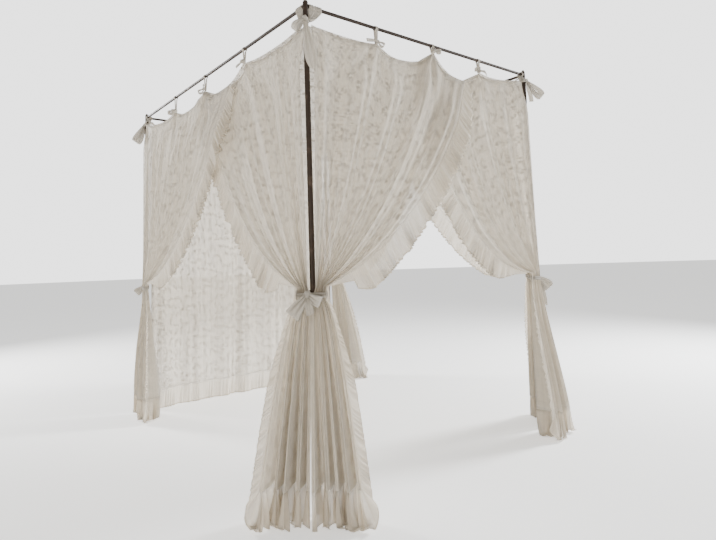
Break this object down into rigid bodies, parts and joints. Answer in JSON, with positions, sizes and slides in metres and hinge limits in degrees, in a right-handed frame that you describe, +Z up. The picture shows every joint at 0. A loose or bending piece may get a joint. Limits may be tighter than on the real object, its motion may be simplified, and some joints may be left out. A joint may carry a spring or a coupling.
{
  "type": "mosquito net canopy with four-post frame",
  "caption": "Ruffled bed net of sheer voile tied to the rails of a slim four-post metal frame, its side panels drawn back to the posts and their gathered tails reaching the floor.",
  "frame": {"origin": "on the floor, under the centre of the whole model's bounding box; the middle of the four posts stands 0.043 m towards +X and 0.084 m towards +Y of it, because the cloth's tails reach further at the foot and on the left", "axes": "+Z up; -Y faces out of the foot side with the crossed pair of panels; +Y faces out of the closed head side; -X faces out of the left side"},
  "size_m": [1.927, 2.3087, 1.9983],
  "materials": {
    "dark_metal": "satin dark brown coating on round steel tube",
    "grey_cap": "grey moulded tube cap",
    "net_voile": "sheer off-white voile with a small tone-on-tone embroidery",
    "ruffle_voile": "the same voile, gathered",
    "ribbon": "folded voile ribbon"
  },
  "bodies": {
    "root": {"post_foot_left": "dark_metal", "cap_foot_left": "grey_cap", "post_foot_right": "dark_metal", "cap_foot_right": "grey_cap", "post_head_left": "dark_metal", "cap_head_left": "grey_cap", "post_head_right": "dark_metal", "cap_head_right": "grey_cap", "rail_foot": "dark_metal", "rail_head": "dark_metal", "rail_left": "dark_metal", "rail_right": "dark_metal", "foot_net_left": "net_voile", "foot_net_right": "net_voile", "left_net_foot": "net_voile", "left_net_head": "net_voile", "right_net_foot": "net_voile", "right_net_head": "net_voile", "head_net": "net_voile", "roof_net": "net_voile", "ruffle_foot_net_left": "ruffle_voile", "ruffle_foot_net_right": "ruffle_voile", "ruffle_left_net_foot": "ruffle_voile", "ruffle_left_net_head": "ruffle_voile", "ruffle_right_net_foot": "ruffle_voile", "ruffle_right_net_head": "ruffle_voile", "ruffle_head_net": "ruffle_voile", "tie_foot_1": "ribbon", "tie_foot_2": "ribbon", "tie_foot_3": "ribbon", "tie_left_1": "ribbon", "tie_left_2": "ribbon", "tie_left_3": "ribbon", "tie_right_1": "ribbon", "tie_right_2": "ribbon", "tie_right_3": "ribbon", "tie_head_1": "ribbon", "tie_head_2": "ribbon", "tie_head_3": "ribbon", "corner_tie_foot_left": "ribbon", "tieback_foot_left": "ribbon", "tieback_bow_foot_left": "ribbon", "corner_tie_foot_right": "ribbon", "tieback_foot_right": "ribbon", "tieback_bow_foot_right": "ribbon", "corner_tie_head_left": "ribbon", "tieback_head_left": "ribbon", "tieback_bow_head_left": "ribbon", "corner_tie_head_right": "ribbon", "tieback_head_right": "ribbon", "tieback_bow_head_right": "ribbon"}
  },
  "joints": []
}
